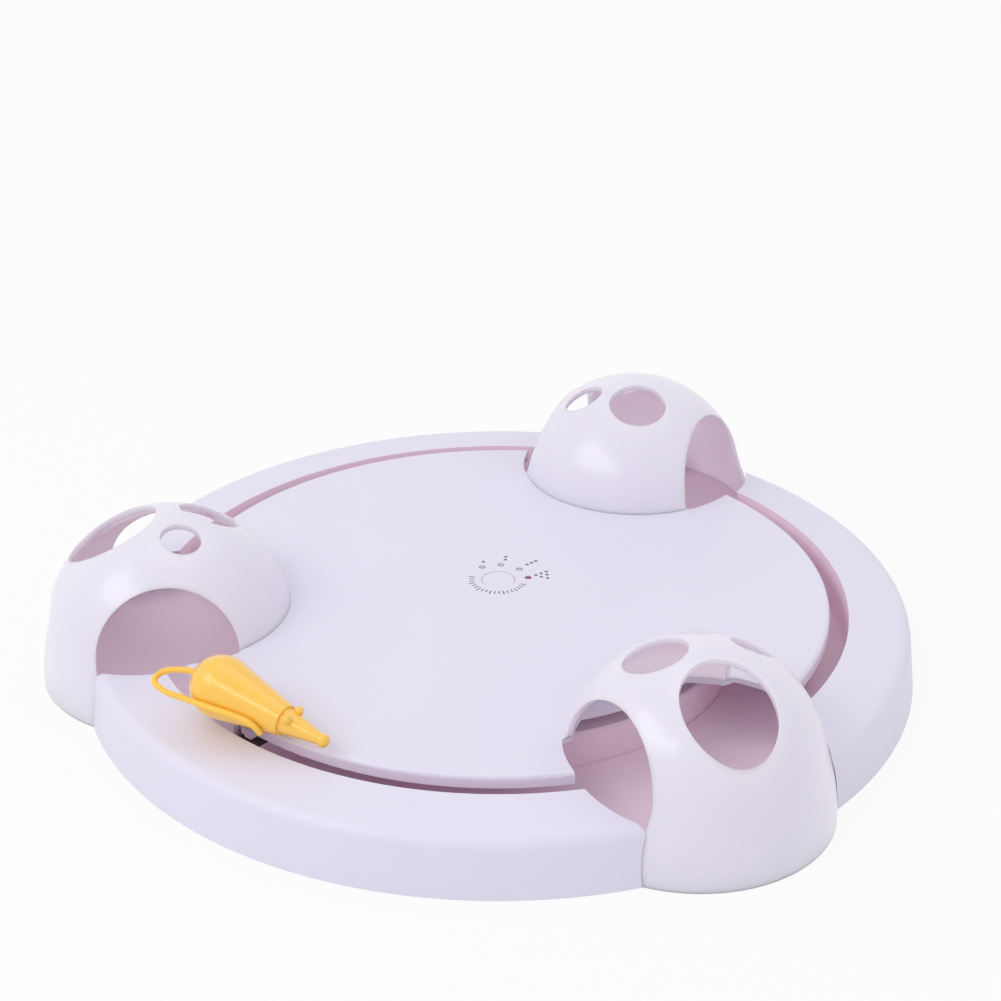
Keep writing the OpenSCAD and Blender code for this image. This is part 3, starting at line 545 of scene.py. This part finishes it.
def dome_ring(z, lean, grow):
    """Middle and radius of the dome's level section at height z; grow moves its skin out."""
    foot = math.sqrt(FOOT_ARC_R ** 2 - min(z, BLEND_TO) ** 2) - FOOT_ARC_BACK + grow
    crown = math.sqrt(max((CROWN_R + grow) ** 2 - (z - CROWN_AT) ** 2, 0.0))
    share = min(max((z - BLEND_FROM) / (BLEND_TO - BLEND_FROM), 0.0), 1.0)
    share = share * share * (3 - 2 * share)
    return share * lean, (1 - share) * foot + share * crown


def dome_body(bm, lean, grow, low):
    """A closed dome from height low up, by rings that draw in to the crown's top."""
    top_r = CROWN_R + grow
    heights = [low + (BLEND_TO - low) * k / FOOT_RINGS for k in range(FOOT_RINGS + 1)]
    start = math.asin((BLEND_TO - CROWN_AT) / top_r)
    step = (math.pi / 2 - start) / CROWN_RINGS
    heights += [CROWN_AT + top_r * math.sin(start + step * k) for k in range(1, CROWN_RINGS)]
    rings = []
    for z in heights:
        middle, r = dome_ring(z, lean, grow)
        rings.append([bm.verts.new((middle + r * math.cos(t), r * math.sin(t), z))
                      for t in (k * math.tau / ROUND for k in range(ROUND))])
    for a, b in zip(rings, rings[1:]):
        for i in range(ROUND):
            j = (i + 1) % ROUND
            bm.faces.new((a[i], a[j], b[j], b[i]))
    tip = bm.verts.new((lean, 0, CROWN_AT + top_r))
    for i in range(ROUND):
        bm.faces.new((rings[-1][i], rings[-1][(i + 1) % ROUND], tip))
    bm.faces.new(rings[0][::-1])


def tunnel_body(bm, arch_r, arch_z):
    """The mouse's tunnel: a round arch on straight legs, along the track."""
    outline = [(arch_r * math.cos(t), arch_z + arch_r * math.sin(t))
               for t in (k * math.pi / ARCH_STEPS for k in range(ARCH_STEPS + 1))]
    for k in range(SILL_STEPS + 1):
        u = -arch_r + 2 * arch_r * k / SILL_STEPS
        outline.append((u, min(SILL_Z, arch_z - math.sqrt(max(arch_r ** 2 - u ** 2, 0)))))
    ends = [[bm.verts.new((u, v, z)) for u, z in outline] for v in (-REACH, REACH)]
    for i in range(len(outline)):
        j = (i + 1) % len(outline)
        bm.faces.new((ends[0][i], ends[0][j], ends[1][j], ends[1][i]))
    bm.faces.new(ends[0])
    bm.faces.new(ends[1][::-1])


def block(bm, low, high):
    """A box between two corners."""
    size = Vector(high) - Vector(low)
    place = Matrix.Translation((Vector(high) + Vector(low)) / 2) @ Matrix.Diagonal((*size, 1.0))
    bmesh.ops.create_cube(bm, size=1.0, matrix=place)


def post(bm, u, v, r, low, high, sides):
    """An upright cylinder."""
    place = Matrix.Translation((u, v, (low + high) / 2))
    bmesh.ops.create_cone(bm, cap_ends=True, segments=sides, radius1=r, radius2=r,
                          depth=high - low, matrix=place)


def hole_axis(tilt, swing):
    """Unit vector that leans out by tilt and round by swing, in degrees."""
    t, a = math.radians(tilt), math.radians(swing)
    return Vector((math.sin(t) * math.cos(a), math.sin(t) * math.sin(a), math.cos(t)))


def paw_hole(bm, u, v, r, turn=None):
    """The cylinder that cuts a paw hole: upright, or along an axis of its own."""
    if turn is None:
        post(bm, u, v, r, HOLES_FROM, HOLES_FROM + REACH, HOLE_SIDES)
        return
    axis = hole_axis(*turn)
    middle = Vector((0, 0, CROWN_AT)) + axis * REACH * TILTED_AT
    place = Matrix.Translation(middle) @ axis.to_track_quat("Z", "Y").to_matrix().to_4x4()
    bmesh.ops.create_cone(bm, cap_ends=True, segments=HOLE_SIDES, radius1=r, radius2=r,
                          depth=REACH, matrix=place)


def hole_normals(points, u, v, r, turn=None):
    """Inward normals of a hole's wall at the points, or None if they lie off it."""
    axis = Vector((0, 0, 1)) if turn is None else hole_axis(*turn)
    away = [Vector((p.x - u, p.y - v, p.z - CROWN_AT)) for p in points]
    away = [d - axis * d.dot(axis) for d in away]
    if any(abs(d.length - r) > NEAR for d in away):
        return None
    return [-d.normalized() for d in away]


def carve(mesh, tools):
    """The mesh less the solids that each of tools builds."""
    body = bpy.data.objects.new("carved", mesh)
    scene.collection.objects.link(body)
    cutters = []
    for build in tools:
        cutter = bpy.data.objects.new("cutter", built_mesh("cutter", build))
        scene.collection.objects.link(cutter)
        cutters.append(cutter)
        step = body.modifiers.new("cut", "BOOLEAN")
        step.operation = "DIFFERENCE"
        step.solver = "EXACT"
        step.object = cutter
    ready = body.evaluated_get(bpy.context.evaluated_depsgraph_get())
    result = bpy.data.meshes.new_from_object(ready)
    for item in cutters + [body]:
        bpy.data.objects.remove(item)
    return result


def skin_normal(p, lean, grow):
    """Outward normal of the dome's skin at p, or None if p lies off it."""
    middle, r = dome_ring(p.z, lean, grow)
    du, dv = p.x - middle, p.y
    if abs(math.hypot(du, dv) - r) > NEAR:
        return None
    if p.z > CROWN_AT + CROWN_R + grow - POLE_CAP:
        return Vector((du, dv, p.z - CROWN_AT)).normalized()
    below = dome_ring(p.z - NEAR, lean, grow)
    slope = (r - below[1]) / NEAR
    drift = (middle - below[0]) / NEAR
    cos_t, sin_t = du / r, dv / r
    return Vector((cos_t, sin_t, -slope - drift * cos_t)).normalized()


def face_normals(points, flat, lean, arch, holes):
    """Normals at a face's corners: those of the skin, hole or arch that it lies on, or its own."""
    for grow, sign in ((0.0, 1.0), (-DOME_WALL, -1.0)):
        found = [skin_normal(p, lean, grow) for p in points]
        if all(found):
            return [n * sign for n in found]
    for hole in holes:
        found = hole_normals(points, *hole)
        if found:
            return found
    arch_r, arch_z = arch
    above = all(p.z > arch_z - NEAR for p in points)
    if above and all(abs(math.hypot(p.x, p.z - arch_z) - arch_r) < NEAR for p in points):
        return [Vector((-p.x, 0, arch_z - p.z)).normalized() for p in points]
    return [flat] * len(points)


def dome_lugs(bm):
    """Screw bosses at the outer skirt and over the cover."""
    post(bm, BOSS_U, 0, BOSS_R, BOSS_LOW, BOSS_LOW + BOSS_H, BOSS_SIDES)
    post(bm, LUG_U, 0, LUG_R, COVER_Z, COVER_Z + LUG_H, BOSS_SIDES)


def make_dome(node, look):
    """The shell that stands for a dome node, with smooth normals on its skins and cuts."""
    lean, arch, holes = DOME_FORMS[node]
    under_low = (-REACH, -REACH, CUT_LOW)
    under_high = (SKIRT_U, REACH, COVER_Z - SINK)
    tools = [lambda bm: dome_body(bm, lean, -DOME_WALL, HOLLOW_LOW),
             lambda bm: tunnel_body(bm, *arch),
             lambda bm: block(bm, under_low, under_high)]
    for hole in holes:
        tools.append(lambda bm, hole=hole: paw_hole(bm, *hole))
    mesh = carve(built_mesh(node, lambda bm: dome_body(bm, lean, 0.0, 0.0)), tools)
    lugs = built_mesh("lugs", dome_lugs)
    bm = bmesh.new()
    bm.from_mesh(mesh)
    bm.from_mesh(lugs)
    bm.to_mesh(mesh)
    bm.free()
    normals = []
    for face in mesh.polygons:
        points = [mesh.vertices[i].co for i in face.vertices]
        normals += face_normals(points, face.normal.copy(), lean, arch, holes)
    azimuth = math.radians(DOME_TURNS[node])
    place = Matrix.Rotation(azimuth, 4, "Z") @ Matrix.Translation((DOME_AXIS, 0, 0))
    turn = place.to_3x3()
    mesh.transform(Matrix.Scale(MM, 4) @ place)
    mesh.polygons.foreach_set("use_smooth", [True] * len(mesh.polygons))
    mesh.normals_split_custom_set([turn @ n for n in normals])
    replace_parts(add_piece(node + "_shell", mesh, look, "base"), node)


for dome_node, dome_look in dome_looks.items():
    make_dome(dome_node, dome_look)


# Studio: a white floor and background for the rays that show it, and soft light
FLOOR_R = 6.0
FLOOR_SIDES = 96
FLOOR_COLOUR = (0.9, 0.9, 0.9, 1.0)
FLOOR_ROUGH = 0.9
FLOOR_SPECULAR = 0.1
FLOOR_WHITE = 0.85
SKY_LIGHT = 0.75
SKY_COLOUR = (0.98, 0.965, 1.0, 1.0)
# Name, place, target, size, energy and colour
LAMPS = (
    ("key", (-1.05, -0.45, 1.05), (0, 0, 0), (0.9, 0.7), 3.9, WHITE[:3]),
    ("front", (-0.53, -0.86, 0.92), (0, 0, 0.03), (0.4, 0.3), 1.0, (0.97, 0.98, 1.0)),
    ("fill", (1.0, -0.5, 0.75), (0, 0, 0), (0.8, 0.8), 0.5, WHITE[:3]),
    ("top", (0.1, 0.35, 1.5), (0, 0, 0), (1.2, 1.0), 2.3, WHITE[:3]),
)


def make_floor():
    """Pale sweep: seen as white by the camera, but still taking the toy's shadow."""
    mesh = bpy.data.meshes.new("floor")
    bm = bmesh.new()
    bmesh.ops.create_circle(bm, cap_ends=True, radius=FLOOR_R, segments=FLOOR_SIDES)
    bm.to_mesh(mesh)
    bm.free()
    floor = bpy.data.objects.new("floor", mesh)
    scene.collection.objects.link(floor)
    mat = bpy.data.materials.new("floor_paper")
    mat.use_nodes = True
    tree = mat.node_tree
    shader = tree.nodes["Principled BSDF"]
    shader.inputs["Base Color"].default_value = FLOOR_COLOUR
    shader.inputs["Roughness"].default_value = FLOOR_ROUGH
    shader.inputs["Specular IOR Level"].default_value = FLOOR_SPECULAR
    white = tree.nodes.new("ShaderNodeEmission")
    white.inputs["Strength"].default_value = 1.0
    mixer = tree.nodes.new("ShaderNodeMixShader")
    share = tree.nodes.new("ShaderNodeMath")
    share.operation = "MULTIPLY"
    share.inputs[1].default_value = FLOOR_WHITE
    tree.links.new(seen_rays(tree), share.inputs[0])
    tree.links.new(share.outputs[0], mixer.inputs["Fac"])
    tree.links.new(shader.outputs["BSDF"], mixer.inputs[1])
    tree.links.new(white.outputs["Emission"], mixer.inputs[2])
    tree.links.new(mixer.outputs["Shader"], tree.nodes["Material Output"].inputs["Surface"])
    mesh.materials.append(mat)


def seen_rays(tree):
    """1 for rays that show the background: camera, glossy and transmission rays."""
    path = tree.nodes.new("ShaderNodeLightPath")
    total = path.outputs["Is Camera Ray"]
    for name in ("Is Glossy Ray", "Is Transmission Ray"):
        add = tree.nodes.new("ShaderNodeMath")
        add.operation = "ADD"
        add.use_clamp = True
        tree.links.new(total, add.inputs[0])
        tree.links.new(path.outputs[name], add.inputs[1])
        total = add.outputs[0]
    return total


def make_world():
    """Even light all round, with plain white behind the toy."""
    world = bpy.data.worlds.new("studio")
    scene.world = world
    world.use_nodes = True
    tree = world.node_tree
    light = tree.nodes["Background"]
    light.inputs["Color"].default_value = SKY_COLOUR
    light.inputs["Strength"].default_value = SKY_LIGHT
    white = tree.nodes.new("ShaderNodeBackground")
    white.inputs["Strength"].default_value = 1.0
    white.inputs["Color"].default_value = WHITE
    mixer = tree.nodes.new("ShaderNodeMixShader")
    tree.links.new(seen_rays(tree), mixer.inputs["Fac"])
    tree.links.new(light.outputs["Background"], mixer.inputs[1])
    tree.links.new(white.outputs["Background"], mixer.inputs[2])
    tree.links.new(mixer.outputs["Shader"], tree.nodes["World Output"].inputs["Surface"])


def softbox(name, place, target, size, energy, colour):
    """A rectangular lamp at place that shines at target."""
    data = bpy.data.lights.new(name, "AREA")
    data.shape = "RECTANGLE"
    data.size, data.size_y = size
    data.energy = energy
    data.color = colour
    lamp = bpy.data.objects.new(name, data)
    lamp.location = place
    aim = Vector(target) - Vector(place)
    lamp.rotation_euler = aim.to_track_quat("-Z", "Y").to_euler()
    scene.collection.objects.link(lamp)


make_camera()
make_world()
make_floor()
for row in LAMPS:
    softbox(*row)
